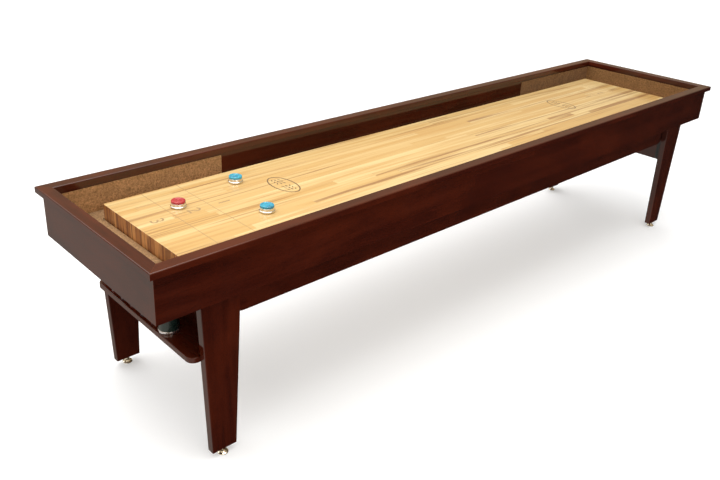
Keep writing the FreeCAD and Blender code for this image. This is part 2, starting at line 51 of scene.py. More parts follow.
# ------------------------------------------------------------------ shader graph helper
class Graph:
    """A shader node tree, with one short call for each kind of node used here."""

    def __init__(self, owner):
        """Start an empty tree, on a new material of the given name or on a world."""
        if isinstance(owner, str):
            owner = bpy.data.materials.new(owner)
        self.owner = owner
        owner.use_nodes = True
        self.tree = owner.node_tree
        self.tree.nodes.clear()
        kind = "World" if isinstance(owner, bpy.types.World) else "Material"
        self.output = self.tree.nodes.new("ShaderNodeOutput" + kind)

    def node(self, kind, inputs=None, **settings):
        node = self.tree.nodes.new(kind)
        for key, value in settings.items():
            setattr(node, key, value)
        for key, value in (inputs or {}).items():
            if isinstance(value, bpy.types.NodeSocket):
                self.tree.links.new(value, node.inputs[key])
            elif value is not None:
                node.inputs[key].default_value = value
        return node

    def math(self, operation, a, b=None):
        return self.node("ShaderNodeMath", {0: a, 1: b}, operation=operation).outputs[0]

    def coords(self):
        return self.node("ShaderNodeTexCoord").outputs["Object"]

    def split(self, vector):
        return self.node("ShaderNodeSeparateXYZ", {0: vector}).outputs

    def join(self, x, y, z):
        return self.node("ShaderNodeCombineXYZ", {0: x, 1: y, 2: z}).outputs[0]

    def stretch(self, vector, scale, offset=(0, 0, 0)):
        inputs = {"Vector": vector, "Scale": scale, "Location": offset}
        return self.node("ShaderNodeMapping", inputs).outputs[0]

    def noise(self, vector, scale=1.0, detail=3.0, rough=0.5, twist=0.0):
        inputs = {"Vector": vector, "Scale": scale, "Detail": detail, "Roughness": rough,
                  "Distortion": twist}
        return self.node("ShaderNodeTexNoise", inputs).outputs["Fac"]

    def cells(self, vector, scale):
        node = self.node("ShaderNodeTexVoronoi", {"Vector": vector, "Scale": scale})
        return node.outputs["Distance"]

    def chance(self, vector):
        node = self.node("ShaderNodeTexWhiteNoise", {"Vector": vector}, noise_dimensions="3D")
        return node.outputs["Value"]

    def band(self, value, low, high, out_low=0.0, out_high=1.0):
        """Smooth step from low to high."""
        inputs = {"Value": value, "From Min": low, "From Max": high, "To Min": out_low,
                  "To Max": out_high}
        node = self.node("ShaderNodeMapRange", inputs, interpolation_type="SMOOTHSTEP")
        return node.outputs["Result"]

    def mix(self, factor, a, b):
        """Colour a where the factor is 0, and b where it is 1."""
        inputs = {"Factor": factor, 6: self.colour(a), 7: self.colour(b)}
        return self.node("ShaderNodeMix", inputs, data_type="RGBA").outputs[2]

    @staticmethod
    def colour(value):
        return (*value, 1.0) if isinstance(value, tuple) and len(value) == 3 else value

    def ramp(self, factor, stops):
        node = self.node("ShaderNodeValToRGB", {"Fac": factor})
        elements = node.color_ramp.elements
        while len(elements) < len(stops):
            elements.new(0.5)
        for element, (place, colour) in zip(elements, stops):
            element.position = place
            element.color = (*colour, 1.0)
        return node.outputs["Color"]

    def bump(self, height, distance, strength):
        inputs = {"Height": height, "Distance": distance, "Strength": strength}
        return self.node("ShaderNodeBump", inputs).outputs[0]

    def edge(self, radius):
        """1 on edges, 0 on flat ground: where handling wears a finish."""
        soft = self.node("ShaderNodeBevel", {"Radius": radius}, samples=4).outputs[0]
        true = self.node("ShaderNodeNewGeometry").outputs["Normal"]
        dot = self.node("ShaderNodeVectorMath", {0: soft, 1: true}, operation="DOT_PRODUCT")
        return self.band(dot.outputs["Value"], 0.995, 0.80)

    def principled(self, **inputs):
        inputs = {key.replace("_", " "): value for key, value in inputs.items()}
        inputs["Base Color"] = self.colour(inputs["Base Color"])
        return self.node("ShaderNodeBsdfPrincipled", inputs).outputs[0]

    def surface(self, shader):
        self.tree.links.new(shader, self.output.inputs["Surface"])
        return self.owner

    def finish(self, **inputs):
        return self.surface(self.principled(**inputs))


# ------------------------------------------------------------------ wood
def along(g, axis, seed):
    """Object coordinates with the grain along X, moved by a seed so that boards differ."""
    x, y, z = g.split(g.coords())
    turned = {"X": (x, y, z), "Y": (y, x, z), "Z": (z, x, y)}[axis]
    return g.stretch(g.join(*turned), (1, 1, 1), (seed * 3.7, seed * 1.3, seed * 2.1))


STAIN = [(0.28, (0.032, 0.0042, 0.0019)), (0.46, (0.050, 0.0068, 0.0028)),
         (0.66, (0.070, 0.0105, 0.0040))]
STAIN_GLOW = (0.100, 0.0150, 0.0046)
STAIN_RUBBED = (0.19, 0.042, 0.014)
STAIN_IN_PORES = (0.010, 0.002, 0.0015)


def cherry(name, axis, seed):
    """Dark cherry: quiet figure under red-brown stain and gloss lacquer, rubbed on the edges."""
    g = Graph(name)
    p = along(g, axis, seed)
    wander = g.noise(g.stretch(p, (0.9, 5.0, 5.0)), detail=2.0)
    _, across, up = g.split(p)
    tilted = g.math("ADD", across, g.math("MULTIPLY", up, 0.6))
    ring = g.math("ADD", g.math("MULTIPLY", tilted, 95.0), g.math("MULTIPLY", wander, 26.0))
    growth = g.band(g.math("SINE", ring), -0.6, 1.0)
    fibre = g.noise(g.stretch(p, (14.0, 520.0, 520.0)), detail=4.0, rough=0.65)
    streak = g.noise(g.stretch(p, (1.6, 34.0, 34.0)), detail=4.0, rough=0.6)
    cloud = g.noise(g.stretch(p, (2.6, 5.5, 5.5)), detail=4.0, rough=0.6)
    tone = g.math("ADD", g.math("MULTIPLY", streak, 0.50), g.math("MULTIPLY", fibre, 0.30))
    tone = g.math("ADD", tone, g.math("MULTIPLY", growth, 0.10))
    deep = g.ramp(tone, STAIN)
    glow = g.mix(g.band(cloud, 0.40, 0.66), deep, STAIN_GLOW)
    body = g.mix(0.55, deep, glow)
    worn = g.math("MULTIPLY", g.edge(2.5 * MM), g.noise(g.coords(), 60.0, 3.0))
    body = g.mix(g.math("MULTIPLY", worn, 0.60), body, STAIN_RUBBED)
    pores = g.band(g.noise(g.stretch(p, (70.0, 1500.0, 1500.0)), detail=1.0), 0.60, 0.72)
    body = g.mix(g.math("MULTIPLY", pores, 0.5), body, STAIN_IN_PORES)
    hands = g.noise(g.coords(), 9.0, 4.0, 0.6)
    peel = g.bump(g.noise(g.coords(), 260.0, 1.0), 0.04 * MM, 0.5)
    grain = g.bump(g.math("SUBTRACT", fibre, g.math("MULTIPLY", pores, 0.6)), 0.10 * MM, 0.5)
    return g.finish(Base_Color=body, Roughness=g.band(fibre, 0.2, 0.8, 0.34, 0.48), Normal=grain,
                    Specular_IOR_Level=0.0, Coat_Weight=0.9,
                    Coat_Roughness=g.band(hands, 0.3, 0.75, 0.05, 0.15), Coat_Normal=peel)


BOARD_WIDTH = 0.521
STRIP = BOARD_WIDTH / 17     # width of one maple strip of the playfield
STAVE = 1.35                 # length of one stave in a strip
MAPLE_PALE = (0.73, 0.530, 0.240)
MAPLE_HONEY = (0.60, 0.370, 0.125)
MAPLE_CLOUD = (0.52, 0.270, 0.070)
MAPLE_FIBRE = (0.46, 0.26, 0.10)
MAPLE_STREAK = (0.26, 0.100, 0.022)
MAPLE_SEAM = (0.30, 0.15, 0.06)
END_PALE = (0.74, 0.370, 0.120)
END_RING = (0.46, 0.180, 0.045)
END_BROWN = (0.33, 0.100, 0.020)
END_HEART = (0.160, 0.034, 0.008)


def maple_board():
    """Playfield: edge-glued maple strips with brown mineral streaks, under a thick clear coat."""
    g = Graph("maple_playfield")
    x, y, z = g.split(g.coords())
    place = g.math("DIVIDE", g.math("ADD", y, BOARD_WIDTH / 2), STRIP)
    strip = g.math("FLOOR", place)
    lane = g.chance(g.join(strip, 0.0, 3.0))
    stave_x = g.math("DIVIDE", g.math("ADD", x, g.math("MULTIPLY", lane, 9.0)), STAVE)
    stave = g.math("FLOOR", stave_x)
    tone = g.chance(g.join(strip, stave, 5.0))
    figure = g.chance(g.join(strip, stave, 11.0))
    shift = g.math("MULTIPLY", g.chance(g.join(strip, stave, 17.0)), 40.0)
    local = g.join(g.math("ADD", x, shift), g.math("ADD", y, shift), z)
    fine = g.noise(g.stretch(local, (9.0, 700.0, 700.0)), detail=4.0, rough=0.6)
    soft = g.noise(g.stretch(local, (1.8, 55.0, 55.0)), detail=3.0)
    colour = g.mix(g.band(tone, 0.1, 0.95), MAPLE_PALE, MAPLE_HONEY)
    colour = g.mix(g.math("MULTIPLY", g.band(soft, 0.44, 0.66), 0.62), colour, MAPLE_CLOUD)
    colour = g.mix(g.math("MULTIPLY", g.band(fine, 0.45, 0.75), 0.25), colour, MAPLE_FIBRE)
    colour = g.mix(mineral_streaks(g, local, figure), colour, MAPLE_STREAK)
    seam_y = g.math("ABSOLUTE", g.math("SUBTRACT", g.math("FRACT", place), 0.5))
    seam_x = g.math("ABSOLUTE", g.math("SUBTRACT", g.math("FRACT", stave_x), 0.5))
    seam = g.math("MAXIMUM", g.band(seam_y, 0.484, 0.497), g.band(seam_x, 0.4996, 0.4999))
    colour = g.mix(g.math("MULTIPLY", seam, 0.35), colour, MAPLE_SEAM)
    colour = g.mix(end_grain_mask(g), colour, end_grain(g, strip, local))
    scuffs = g.noise(g.stretch(g.coords(), (3.0, 30.0, 3.0)), detail=5.0, rough=0.7)
    relief = g.bump(g.math("SUBTRACT", fine, seam), 0.05 * MM, 0.4)
    return g.finish(Base_Color=colour, Roughness=0.32, Normal=relief, Coat_Weight=0.8,
                    Coat_Roughness=g.band(scuffs, 0.35, 0.7, 0.05, 0.16))


# Broad and thin streaks: noise scale along and across the grain, threshold, depth of colour.
STREAKS = ((0.9, 48.0, 0.607, 0.82), (1.5, 120.0, 0.622, 0.60))


def mineral_streaks(g, local, figure):
    """Long soft brown streaks, more and broader in some staves than in others."""
    heavy = g.band(figure, 0.25, 0.95)
    total = None
    for run, width, level, depth in STREAKS:
        field = g.noise(g.stretch(local, (run, width, width)), detail=3.0, rough=0.55, twist=0.25)
        level = g.math("SUBTRACT", level, g.math("MULTIPLY", heavy, 0.105))
        streak = g.math("MULTIPLY", g.band(g.math("SUBTRACT", field, level), 0.0, 0.13), depth)
        total = streak if total is None else g.math("MAXIMUM", total, streak)
    return total


def end_grain_mask(g):
    """1 on the board's two sawn ends."""
    normal = g.split(g.node("ShaderNodeNewGeometry").outputs["Normal"])
    return g.band(g.math("ABSOLUTE", normal[0]), 0.6, 0.8)


def end_grain(g, strip, local):
    """Sawn ends: each strip shows its own rings, and heartwood strips are much darker."""
    _, y, z = g.split(local)
    tilt = g.math("MULTIPLY", g.chance(g.join(strip, 2.0, 1.0)), 0.5)
    rings = g.math("MULTIPLY", g.math("ADD", y, g.math("MULTIPLY", z, tilt)), 900.0)
    rings = g.math("ADD", rings, g.math("MULTIPLY", g.noise(local, 40.0), 5.0))
    rings = g.band(g.math("SINE", rings), -1.0, 1.0)
    base = g.mix(g.math("MULTIPLY", rings, 0.35), END_PALE, END_RING)
    shade = g.band(g.chance(g.join(strip, 7.0, 4.0)), 0.45, 0.75)
    base = g.mix(g.math("MULTIPLY", shade, 0.75), base, END_BROWN)
    heart = g.band(g.noise(g.stretch(local, (1.0, 62.0, 3.0)), detail=2.0, rough=0.6), 0.49, 0.55)
    return g.mix(g.math("MULTIPLY", heart, 0.85), base, END_HEART)


def lumber(name, axis, seed, pale, dark):
    """Planed softwood or plywood, left unfinished."""
    g = Graph(name)
    p = along(g, axis, seed)
    _, across, up = g.split(p)
    wander = g.noise(g.stretch(p, (1.2, 9.0, 9.0)), detail=2.0)
    ring = g.math("MULTIPLY", g.math("ADD", across, up), 330.0)
    ring = g.math("ADD", ring, g.math("MULTIPLY", wander, 34.0))
    late = g.band(g.math("SINE", ring), 0.2, 1.0)
    fibre = g.noise(g.stretch(p, (18.0, 600.0, 600.0)), detail=4.0, rough=0.65)
    colour = g.mix(g.math("MULTIPLY", late, 0.6), pale, dark)
    colour = g.mix(g.math("MULTIPLY", g.band(fibre, 0.4, 0.7), 0.35), colour, dark)
    dust = g.noise(g.coords(), 14.0, 5.0)
    colour = g.mix(g.math("MULTIPLY", g.band(dust, 0.5, 0.8), 0.25), colour, (0.20, 0.13, 0.08))
    return g.finish(Base_Color=colour, Roughness=g.band(fibre, 0.2, 0.8, 0.62, 0.82),
                    Normal=g.bump(fibre, 0.25 * MM, 0.7), Specular_IOR_Level=0.3)


# ------------------------------------------------------------------ carpet, metal, plastic, ink
def carpet_material(name, light):
    """Short mottled pile: tufts of slightly different tans over a dark backing."""
    g = Graph(name)
    p = g.coords()
    tufts = g.cells(p, 430.0)
    fleck = g.noise(p, 150.0, 5.0, 0.75)
    cloud = g.noise(p, 26.0, 4.0, 0.6)
    low = tuple(0.46 * c for c in light)
    high = tuple(min(1.0, 1.42 * c) for c in light)
    colour = g.ramp(fleck, [(0.36, low), (0.50, light), (0.64, high)])
    colour = g.mix(g.math("MULTIPLY", g.band(cloud, 0.35, 0.7), 0.30), colour, low)
    colour = g.mix(g.math("MULTIPLY", g.band(tufts, 0.0, 0.9), 0.25), colour, low)
    height = g.math("SUBTRACT", fleck, tufts)
    return g.finish(Base_Color=colour, Roughness=0.95, Specular_IOR_Level=0.05, Sheen_Weight=0.08,
                    Sheen_Roughness=0.6, Normal=g.bump(height, 0.8 * MM, 0.8))


def zinc(name):
    """Bright zinc plate with a faint spangle and handling marks."""
    g = Graph(name)
    spangle = g.cells(g.coords(), 420.0)
    smear = g.noise(g.coords(), 70.0, 5.0, 0.65)
    colour = g.mix(g.band(spangle, 0.0, 0.8), (0.50, 0.51, 0.53), (0.66, 0.66, 0.66))
    colour = g.mix(g.math("MULTIPLY", g.band(smear, 0.5, 0.75), 0.4), colour, (0.36, 0.33, 0.28))
    return g.finish(Base_Color=colour, Metallic=1.0, Roughness=g.band(smear, 0.3, 0.7, 0.24, 0.46),
                    Normal=g.bump(smear, 0.05 * MM, 0.4))


def enamel(name, colour, chip):
    """Baked paint on steel: slight orange peel, dulled patches and thin wear on the edges."""
    g = Graph(name)
    peel = g.noise(g.coords(), 420.0, 2.0)
    smear = g.noise(g.coords(), 60.0, 4.0, 0.6)
    worn = g.math("MULTIPLY", g.edge(1.0 * MM), g.band(g.noise(g.coords(), 300.0, 3.0), 0.45, 0.7))
    body = g.mix(g.math("MULTIPLY", worn, 0.7), colour, chip)
    return g.finish(Base_Color=body, Roughness=g.band(smear, 0.3, 0.7, 0.30, 0.50),
                    Normal=g.bump(peel, 0.05 * MM, 0.5))


def polished(name, colour, rough, dull):
    """Plated metal: nearly a mirror, with fine rub marks and dull smears."""
    g = Graph(name)
    rub = g.noise(g.stretch(g.coords(), (300.0, 300.0, 2600.0)), detail=2.0, rough=0.6)
    smear = g.noise(g.coords(), 90.0, 4.0, 0.6)
    tint = tuple(0.72 * c for c in colour)
    body = g.mix(g.math("MULTIPLY", g.band(smear, 0.45, 0.75), 0.5), colour, tint)
    return g.finish(Base_Color=body, Metallic=1.0, Roughness=g.band(smear, 0.3, 0.75, rough, dull),
                    Normal=g.bump(rub, 0.012 * MM, 0.35))


def plastic(name, colour, deep):
    """Clear-tinted moulding: light gets a little way in, and the top shows fine scratches."""
    g = Graph(name)
    cloud = g.noise(g.coords(), 55.0, 2.0)
    scratch = g.noise(g.stretch(g.coords(), (2600.0, 160.0, 400.0)), detail=2.0)
    body = g.mix(g.band(cloud, 0.35, 0.7), colour, deep)
    return g.finish(Base_Color=body, Roughness=g.band(scratch, 0.4, 0.75, 0.10, 0.24), IOR=1.49,
                    Subsurface_Weight=0.35, Subsurface_Radius=(0.004, 0.004, 0.004),
                    Coat_Weight=0.5, Coat_Roughness=0.05, Normal=g.bump(scratch, 0.01 * MM, 0.4))


def ink(name, colour):
    """Printed mark, slightly uneven, under the clear coat."""
    g = Graph(name)
    worn = g.noise(g.coords(), 240.0, 4.0, 0.7)
    body = g.mix(g.math("MULTIPLY", g.band(worn, 0.45, 0.75), 0.5), colour, (0.70, 0.45, 0.20))
    return g.finish(Base_Color=body, Roughness=0.35, Coat_Weight=0.8, Coat_Roughness=0.1)


# ------------------------------------------------------------------ mesh helpers
def add_mesh(name, verts, faces, material, body, sharp_deg=None):
    """New piece from vertices and faces: flat, or smooth except at edges sharper than an angle."""
    mesh = bpy.data.meshes.new(name)
    mesh.from_pydata([tuple(v) for v in verts], [], [tuple(f) for f in faces])
    mesh.validate()
    edit = bmesh.new()
    edit.from_mesh(mesh)
    bmesh.ops.recalc_face_normals(edit, faces=edit.faces)
    edit.to_mesh(mesh)
    edit.free()
    if sharp_deg is not None:
        mesh.shade_smooth()
        mesh.set_sharp_from_angle(angle=math.radians(sharp_deg))
    mesh.materials.append(material)
    piece = bpy.data.objects.new(name, mesh)
    bpy.context.scene.collection.objects.link(piece)
    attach(piece, body)
    return piece


def rounded(outline, steps=5):
    """Replace each (r, z, radius) corner of an open outline with an arc."""
    points = []
    for i, (r, z, radius) in enumerate(outline):
        here = Vector((r, z))
        if radius == 0 or i in (0, len(outline) - 1):
            points.append(here)
            continue
        to_last = (Vector(outline[i - 1][:2]) - here).normalized()
        to_next = (Vector(outline[i + 1][:2]) - here).normalized()
        half = to_last.angle(to_next) / 2
        cut = radius / math.tan(half)
        middle = here + (to_last + to_next).normalized() * (radius / math.sin(half))
        start, end = here + to_last * cut - middle, here + to_next * cut - middle
        for k in range(steps + 1):
            arm = start.lerp(end, k / steps)
            points.append(middle + arm.normalized() * radius)
    return points


def lathe(name, outline, centre, material, body, sides=96, sharp_deg=28.0):
    """Closed solid turned about a vertical axis; its outline starts and ends at radius 0."""
    points = [p * MM for p in rounded(outline)]
    verts = [Vector((0, 0, points[0].y))]
    rows = points[1:-1]
    for p in rows:
        for k in range(sides):
            angle = 2 * math.pi * k / sides
            verts.append(Vector((p.x * math.cos(angle), p.x * math.sin(angle), p.y)))
    verts.append(Vector((0, 0, points[-1].y)))
    faces = []
    last = len(verts) - 1
    for k in range(sides):
        n = (k + 1) % sides
        faces.append((0, 1 + n, 1 + k))
        for row in range(len(rows) - 1):
            a, b = 1 + row * sides, 1 + (row + 1) * sides
            faces.append((a + k, a + n, b + n, b + k))
        top = 1 + (len(rows) - 1) * sides
        faces.append((top + k, top + n, last))
    return add_mesh(name, [v + centre for v in verts], faces, material, body, sharp_deg)


def standing_place(node):
    """Middle of a CAD node in plan, at the height of its lowest point."""
    low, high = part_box(node)
    return Vector(((low[0] + high[0]) / 2, (low[1] + high[1]) / 2, low[2]))


def thread(radius, pitch, length, sides=24):
    """Helical screw thread along +Z from z = 0, closed at both ends: vertices and faces."""
    depth = 0.6 * pitch
    count = int(length / (pitch / 4))
    verts, faces = [], []
    for row in range(count + 1):
        z = row * length / count
        lead_in = min(1.0, z / pitch, (length - z) / pitch)
        for k in range(sides):
            turn = k / sides
            phase = (z / pitch - turn) % 1.0
            r = radius - depth * abs(2 * phase - 1) * 0.9 - (1 - lead_in) * 0.4 * depth
            angle = 2 * math.pi * turn
            verts.append(Vector((r * math.cos(angle), r * math.sin(angle), z)))
    for row in range(count):
        for k in range(sides):
            n = (k + 1) % sides
            a, b = row * sides, (row + 1) * sides
            faces.append((a + k, a + n, b + n, b + k))
    faces.append(tuple(range(sides))[::-1])
    faces.append(tuple(count * sides + k for k in range(sides)))
    return verts, faces


def paint(material, *names):
    """Give CAD nodes a material."""
    for name in names:
        for place in NODES[name].material_slots:
            place.material = material


# ------------------------------------------------------------------ the cabinet, legs and fittings
def paint_frame():
    by_grain = {
        "X": ["cap_rail_left", "cap_rail_right", "side_panel_left", "side_panel_right",
              "apron_left", "apron_right"],
        "Y": ["cap_rail_near", "cap_rail_far", "end_panel_near", "end_panel_far",
              "cross_panel_near", "cross_panel_far", "puck_shelf"],
        "Z": ["leg_" + corner for corner in CORNERS],
    }
    seed = 1
    for axis, names in by_grain.items():
        for name in names:
            paint(cherry("cherry_" + name, axis, seed), name)
            seed += 1
    paint(maple_board(), "playfield")
    ply = lumber("plywood", "X", 3, (0.50, 0.34, 0.18), (0.36, 0.22, 0.105))
    pine = lumber("poplar", "Y", 5, (0.56, 0.41, 0.22), (0.42, 0.27, 0.12))
    paint(ply, "gutter_boards_long", "gutter_boards_short")
    paint(pine, "cross_members")
    black = enamel("black_enamel", (0.010, 0.010, 0.011), (0.12, 0.12, 0.12))
    paint(black, "corner_brackets", "wood_screws")
    paint(zinc("zinc_plated_steel"), "leg_bolts", "adjuster_brackets", "adjuster_nuts",
          "leveler_inserts", "turnbuckle_near", "turnbuckle_middle", "turnbuckle_far")


# ------------------------------------------------------------------ carpets
# One carpet in three brightnesses. The near wall's colour is painted light, made lighter than the
# trough floor's. The far wall's colour is painted shade, made darker.
CARPET_FLOOR = (0.37, 0.215, 0.100)
CARPET_NEAR_PAINTED_LIGHT = (0.50, 0.270, 0.112)
CARPET_FAR_PAINTED_SHADE = (0.290, 0.148, 0.054)
PILE = 0.9 * MM              # how uneven the pile's surface is
CARPET_STEP = 4 * MM         # spacing of the pile's surface points
BAY_GAP = 2 * MM             # carpet kept off the playfield
LINING = 3 * MM              # thickness of the wall lining
LINING_CORNER = 5 * MM       # radius where the lining turns from one wall to the next
LINING_TURN = 5              # steps round that corner
LINING_TOP = 0.8 * MM        # how far the lining's top edge is drawn in


def pile_height(x, y, seed):
    """Uneven pile: sums of waves and a repeatable scatter."""
    scatter = np.random.RandomState(seed).rand(*np.shape(x))
    waves = np.sin(310 * x + 1.7 * seed) * np.sin(290 * y) + np.sin(130 * x + 90 * y)
    return PILE * (0.65 * scatter + 0.35 * (0.5 + 0.25 * waves))


def floor_carpet():
    """The trough carpet: one sheet with a rectangular opening for the playfield."""
    (x0, y0, z0), (x1, y1, z1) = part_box("gutter_carpet")
    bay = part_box("playfield")
    xs = np.linspace(x0, x1, int((x1 - x0) / CARPET_STEP) + 1)
    ys = np.linspace(y0, y1, int((y1 - y0) / CARPET_STEP) + 1)
    inside_x = [i for i, x in enumerate(xs) if bay[0][0] - BAY_GAP < x < bay[1][0] + BAY_GAP]
    inside_y = [j for j, y in enumerate(ys) if bay[0][1] - BAY_GAP < y < bay[1][1] + BAY_GAP]
    hole_x, hole_y = (inside_x[0] - 1, inside_x[-1] + 1), (inside_y[0] - 1, inside_y[-1] + 1)
    gx, gy = np.meshgrid(xs, ys, indexing="ij")
    top = z1 - pile_height(gx, gy, 3)
    index = {}
    verts, faces = [], []

    def vertex(i, j, upper):
        key = (i, j, upper)
        if key not in index:
            index[key] = len(verts)
            verts.append((xs[i], ys[j], top[i, j] if upper else z0))
        return index[key]

    def is_carpet(i, j):
        if not (0 <= i < len(xs) - 1 and 0 <= j < len(ys) - 1):
            return False
        return not (hole_x[0] <= i < hole_x[1] and hole_y[0] <= j < hole_y[1])

    for i in range(len(xs) - 1):
        for j in range(len(ys) - 1):
            if not is_carpet(i, j):
                continue
            ring = [(i, j), (i + 1, j), (i + 1, j + 1), (i, j + 1)]
            faces.append([vertex(a, b, True) for a, b in ring])
            faces.append([vertex(a, b, False) for a, b in reversed(ring)])
            sides = [((i, j - 1), 0, 1), ((i + 1, j), 1, 2),
                     ((i, j + 1), 2, 3), ((i - 1, j), 3, 0)]
            for neighbour, a, b in sides:
                if not is_carpet(*neighbour):
                    faces.append([vertex(*ring[a], True), vertex(*ring[a], False),
                                  vertex(*ring[b], False), vertex(*ring[b], True)])
    pile = carpet_material("carpet_floor", CARPET_FLOOR)
    piece = add_mesh("trough_carpet", verts, faces, pile, "table", sharp_deg=60)
    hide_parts("gutter_carpet")


def lining_path(x_wall, x_tip, y0, y1, end):
    """Plan points along the lining's U, each with the direction that its pile faces."""
    path = []
    run = abs(x_wall - x_tip) - LINING - LINING_CORNER
    for k in range(int(run / CARPET_STEP) + 1):
        x = x_tip + (x_wall - x_tip) * k * CARPET_STEP / abs(x_wall - x_tip)
        path.append((x, y0, (0, 1)))
    face_x = x_wall - end * LINING
    corner_x, corner_y = face_x - end * LINING_CORNER, y0 + LINING + LINING_CORNER
    for k in range(LINING_TURN + 1):
        a = math.pi / 2 * k / LINING_TURN
        facing = (-end * math.sin(a), math.cos(a))
        path.append((corner_x - LINING_CORNER * facing[0], corner_y - LINING_CORNER * facing[1],
                     facing))
    straight = y1 - y0 - 2 * (LINING + LINING_CORNER)
    count = int(straight / CARPET_STEP)
    for k in range(1, count):
        path.append((face_x, corner_y + straight * k / count, (-end, 0)))
    half = [point for point in path if point[1] < (y0 + y1) / 2]
    return half + [(x, y0 + y1 - y, (n[0], -n[1])) for x, y, n in reversed(half)]


def wall_carpet(node, end, material):
    """Lining glued round an end of the trough: a U-shaped sheet with a tufted face."""
    (x0, y0, z0), (x1, y1, z1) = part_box(node)
    wall, tip = (x1, x0) if end > 0 else (x0, x1)
    path = lining_path(wall, tip, y0, y1, end)
    heights = np.linspace(z0, z1, int((z1 - z0) / CARPET_STEP) + 1)
    rows = len(heights)
    scatter = np.random.RandomState(11).rand(len(path), rows)
    front, back, faces = [], [], []
    for i, (x, y, n) in enumerate(path):
        on_wall = abs(y - y0) < 1e-9 or abs(y - y1) < 1e-9
        fx, fy = (x, y + (LINING if n[1] > 0 else -LINING)) if on_wall else (x, y)
        bx = wall if abs(n[0]) > 0.01 else x
        by = (y0 if n[1] > 0 else y1) if abs(n[1]) > 0.01 else y
        for j, z in enumerate(heights):
            sink = PILE * scatter[i, j] + (LINING_TOP if j == rows - 1 else 0.0)
            front.append((fx - n[0] * sink, fy - n[1] * sink, z))
            back.append((bx, by, z))
    total = len(front)
    for i in range(len(path) - 1):
        for j in range(rows - 1):
            a, b = i * rows + j, (i + 1) * rows + j
            faces.append((a, b, b + 1, a + 1))
            faces.append((total + a, total + a + 1, total + b + 1, total + b))
        low, high = i * rows, i * rows + rows - 1
        faces.append((low, total + low, total + low + rows, low + rows))
        faces.append((high, high + rows, total + high + rows, total + high))
    for start in (0, (len(path) - 1) * rows):
        for j in range(rows - 1):
            a = start + j
            faces.append((a, a + 1, total + a + 1, total + a))
    name = "lining_" + node.split("_")[-1]
    piece = add_mesh(name, front + back, faces, material, "table", sharp_deg=60)
    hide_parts(node)


# ------------------------------------------------------------------ printed marks on the playfield
MARK_HIGH = 0.08 * MM        # print above the board's top
MARK_DEEP = 0.02 * MM        # print below it
MARKS_ACROSS = 0.036         # the marks sit a little left of the board's centre line
EMBLEM_FROM_END = 0.587
EMBLEM_HALF = (0.045, 0.081)
EMBLEM_LINE = 5.0 * MM
LEAF_SIZE = (0.017, 0.006)
LEAF_ROW = 0.013             # between rows of leaves, along the table
LEAF_FIRST = 0.016           # from the emblem's middle to the first leaf, across the table
LEAF_STEP = 0.017            # from one leaf to the next
LINES_FROM_END = (0.139, 0.277)
LINE_HALF = 1.0 * MM
LINE_MARGIN = 3 * MM
ZONE_NUMBERS = ((0.072, "3"), (0.210, "2"), (0.328, "1"))
NUMERAL_SIZE = 0.068


def plate(name, outline, z, material):
    """Very thin printed shape from a plan outline."""
    count = len(outline)
    verts = [(x, y, z - MARK_DEEP) for x, y in outline]
    verts += [(x, y, z + MARK_HIGH) for x, y in outline]
    faces = [tuple(range(count))[::-1], tuple(range(count, 2 * count))]
    for k in range(count):
        n = (k + 1) % count
        faces.append((k, n, count + n, count + k))
    return add_mesh(name, verts, faces, material, "table")


def band_ring(name, centre, half_x, half_y, width, z, material, sides=96):
    """Printed elliptical ring."""
    x, y = centre
    verts, faces = [], []
    for k in range(sides):
        c, s = math.cos(2 * math.pi * k / sides), math.sin(2 * math.pi * k / sides)
        for grow in (0.0, width):
            for high in (-MARK_DEEP, MARK_HIGH):
                verts.append((x + (half_x - grow) * c, y + (half_y - grow) * s, z + high))
    for k in range(sides):
        a, b = 4 * k, 4 * ((k + 1) % sides)
        for p, q in ((0, 1), (1, 3), (3, 2), (2, 0)):
            faces.append((a + p, b + p, b + q, a + q))
    return add_mesh(name, verts, faces, material, "table")


def leaf(x, y, length, width, angle, points=10):
    """Pointed oval outline."""
    outline = []
    for k in range(2 * points):
        t = k / points
        way = 1 if t < 1 else -1
        u = t if t < 1 else 2 - t
        px = length * (u - 0.5)
        py = way * width / 2 * math.sin(math.pi * u) ** 0.8
        outline.append((x + px * math.cos(angle) - py * math.sin(angle),
                        y + px * math.sin(angle) + py * math.cos(angle)))
    return outline


def emblem(end_name, way, z, material):
    """Plain ornament: an oval ring round two sprays of leaves."""
    x = way * (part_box("playfield")[1][0] - EMBLEM_FROM_END)
    y = MARKS_ACROSS
    band_ring("emblem_ring_" + end_name, (x, y), *EMBLEM_HALF, EMBLEM_LINE, z, material)
    number = 0
    for side in (-1, 1):
        for row in (-1, 0, 1):
            for step in (0, 1, 2):
                spread = LEAF_FIRST + LEAF_STEP * step
                place = (x + way * LEAF_ROW * row, y + side * spread + 0.003 * row)
                size = (LEAF_SIZE[0] - 0.002 * step, LEAF_SIZE[1] - 0.001 * abs(row))
                tilt = math.pi / 2 - side * row * 0.45
                outline = leaf(*place, *size, tilt)
                plate(f"emblem_leaf_{end_name}_{number}", outline, z, material)
                number += 1


def numeral(name, text, x, y, z, facing, material):
    """Zone number that reads upright from its own end of the table."""
    curve = bpy.data.curves.new(name, "FONT")
    curve.body = text
    curve.size = NUMERAL_SIZE
    curve.align_x = "CENTER"
    curve.align_y = "CENTER"
    curve.extrude = MARK_HIGH
    glyph = bpy.data.objects.new(name + "_outline", curve)
    bpy.context.scene.collection.objects.link(glyph)
    bpy.context.view_layer.update()
    mesh = bpy.data.meshes.new_from_object(glyph)
    bpy.data.objects.remove(glyph)
    mesh.name = name
    mesh.transform(Matrix.Translation((x, y, z)) @ Matrix.Rotation(-facing * math.pi / 2, 4, "Z"))
    mesh.materials.clear()
    mesh.materials.append(material)
    piece = bpy.data.objects.new(name, mesh)
    bpy.context.scene.collection.objects.link(piece)
    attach(piece, "table")


